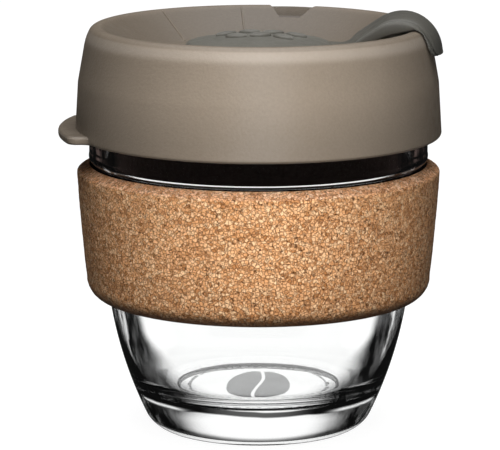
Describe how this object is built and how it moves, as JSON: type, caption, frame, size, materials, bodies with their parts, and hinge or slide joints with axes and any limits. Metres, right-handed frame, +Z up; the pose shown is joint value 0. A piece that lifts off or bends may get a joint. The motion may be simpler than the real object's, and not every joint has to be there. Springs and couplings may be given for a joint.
{
  "type": "reusable coffee cup",
  "caption": "Short clear glass cup with a pressed-cork band, a rounded press-on lid and a soft swivelling plug whose arm covers the sip hole.",
  "frame": {"origin": "the centre of the glass's foot ring, on the surface that the cup stands on", "axes": "+Z up along the cup's axis, +X towards the plug's arm and the sip hole, +Y completing a right-handed frame (the rim notch is near +Y)"},
  "size_m": [0.0927, 0.0884, 0.1014],
  "materials": {
    "clear_glass": "polished clear tempered glass",
    "cork": "pressed cork granules, sanded and unvarnished",
    "lid_plastic": "soft-touch moulded plastic with a fine satin texture, warm grey",
    "plug_rubber": "soft moulded elastomer, satin, dark grey"
  },
  "bodies": {
    "cup": {"glass_cup": "clear_glass"},
    "band": {"cork_band": "cork"},
    "cover": {"lid": "lid_plastic"},
    "plug": {"plug_hub": "plug_rubber", "plug_web": "plug_rubber"},
    "arm": {"plug_arm": "plug_rubber", "plug_stopper": "plug_rubber"}
  },
  "joints": [
    {"name": "band_slide", "type": "slide", "parent": "cup", "child": "band", "axis": [0, 0, -1], "range_m": [0, 0.0318]},
    {"name": "lid_lift", "type": "slide", "parent": "cup", "child": "cover", "axis": [0, 0, 1], "range_m": [0, 0.06]},
    {"name": "plug_turn", "type": "hinge", "parent": "cover", "child": "plug", "pos_m": [0, 0, 0.0915], "axis": [0, 0, 1], "range_deg": [0, 82]},
    {"name": "arm_lift", "type": "hinge", "parent": "plug", "child": "arm", "pos_m": [0.018, 0, 0.0926], "axis": [0, -1, 0], "range_deg": [0, 60], "stiffness_Nm_per_rad": 0.02, "deforming": ["plug_web"]}
  ]
}
